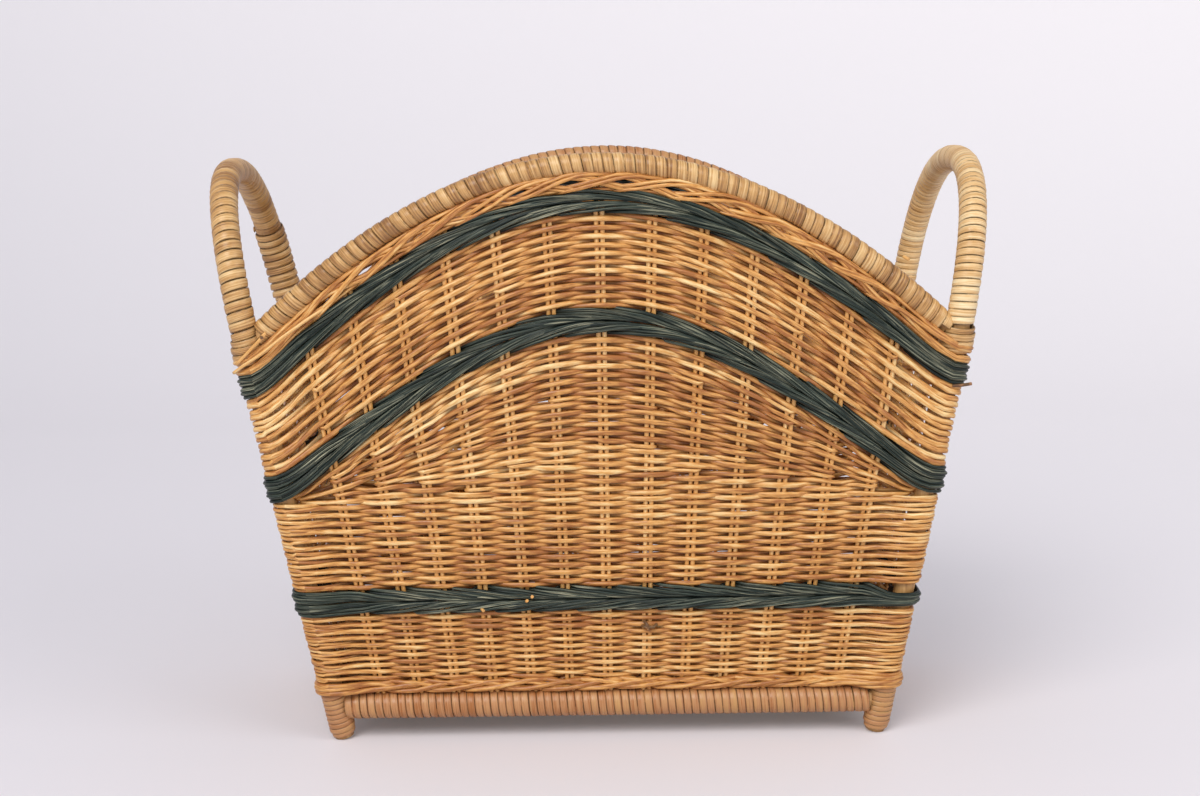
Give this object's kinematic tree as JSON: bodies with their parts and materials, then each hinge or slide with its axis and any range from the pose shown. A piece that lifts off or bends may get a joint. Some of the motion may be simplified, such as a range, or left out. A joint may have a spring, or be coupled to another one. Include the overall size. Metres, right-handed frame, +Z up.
{
  "type": "magazine basket",
  "caption": "Low open wicker basket for magazines: arched woven long walls, raised wale bands, wrapped rims and bent pole end hoops that make the feet, corner posts and carrying handles.",
  "frame": {"origin": "on the surface that the four feet stand on, in the middle of the basket's reach along X and Y; the back left corner leans out further than the others, so the middle of the footprint lies 5.6 mm towards +X", "axes": "+X along the long walls towards the right handle, +Y from the front long wall to the back one, +Z up"},
  "size_m": [0.4792, 0.2384, 0.3665],
  "materials": {
    "rattan_pole": "peeled pole under clear varnish",
    "cane_peel": "glossy split cane binding, honey",
    "rail_peel": "glossy split cane binding, red brown",
    "natural_reed": "satin golden reed weave",
    "green_reed": "satin stained grey green reed, scuffed"
  },
  "bodies": {
    "root": {"back_base_rail": "rattan_pole", "back_base_rail_wrap": "rail_peel", "back_fan_panel": "natural_reed", "back_left_foot_wrap": "cane_peel", "back_left_lashing": "cane_peel", "back_lower_panel": "natural_reed", "back_middle_panel": "natural_reed", "back_right_foot_wrap": "cane_peel", "back_right_lashing": "cane_peel", "back_rim_pole": "rattan_pole", "back_rim_wrap": "cane_peel", "back_top_wale": "natural_reed", "back_upper_panel": "natural_reed", "floor_panel": "natural_reed", "front_base_rail": "rattan_pole", "front_base_rail_wrap": "rail_peel", "front_fan_panel": "natural_reed", "front_left_foot_wrap": "cane_peel", "front_left_lashing": "cane_peel", "front_lower_panel": "natural_reed", "front_middle_panel": "natural_reed", "front_right_foot_wrap": "cane_peel", "front_right_lashing": "cane_peel", "front_rim_pole": "rattan_pole", "front_rim_wrap": "cane_peel", "front_top_wale": "natural_reed", "front_upper_panel": "natural_reed", "left_base_rail": "rattan_pole", "left_base_rail_wrap": "rail_peel", "left_end_hoop": "rattan_pole", "left_end_rim_pole": "rattan_pole", "left_end_rim_wrap": "cane_peel", "left_handle_wrap": "cane_peel", "left_lower_panel": "natural_reed", "left_middle_panel": "natural_reed", "left_top_wale": "natural_reed", "left_upper_panel": "natural_reed", "lower_green_band": "green_reed", "middle_green_band": "green_reed", "right_base_rail": "rattan_pole", "right_base_rail_wrap": "rail_peel", "right_end_hoop": "rattan_pole", "right_end_rim_pole": "rattan_pole", "right_end_rim_wrap": "cane_peel", "right_handle_wrap": "cane_peel", "right_lower_panel": "natural_reed", "right_middle_panel": "natural_reed", "right_top_wale": "natural_reed", "right_upper_panel": "natural_reed", "upper_green_band": "green_reed"}
  },
  "joints": []
}
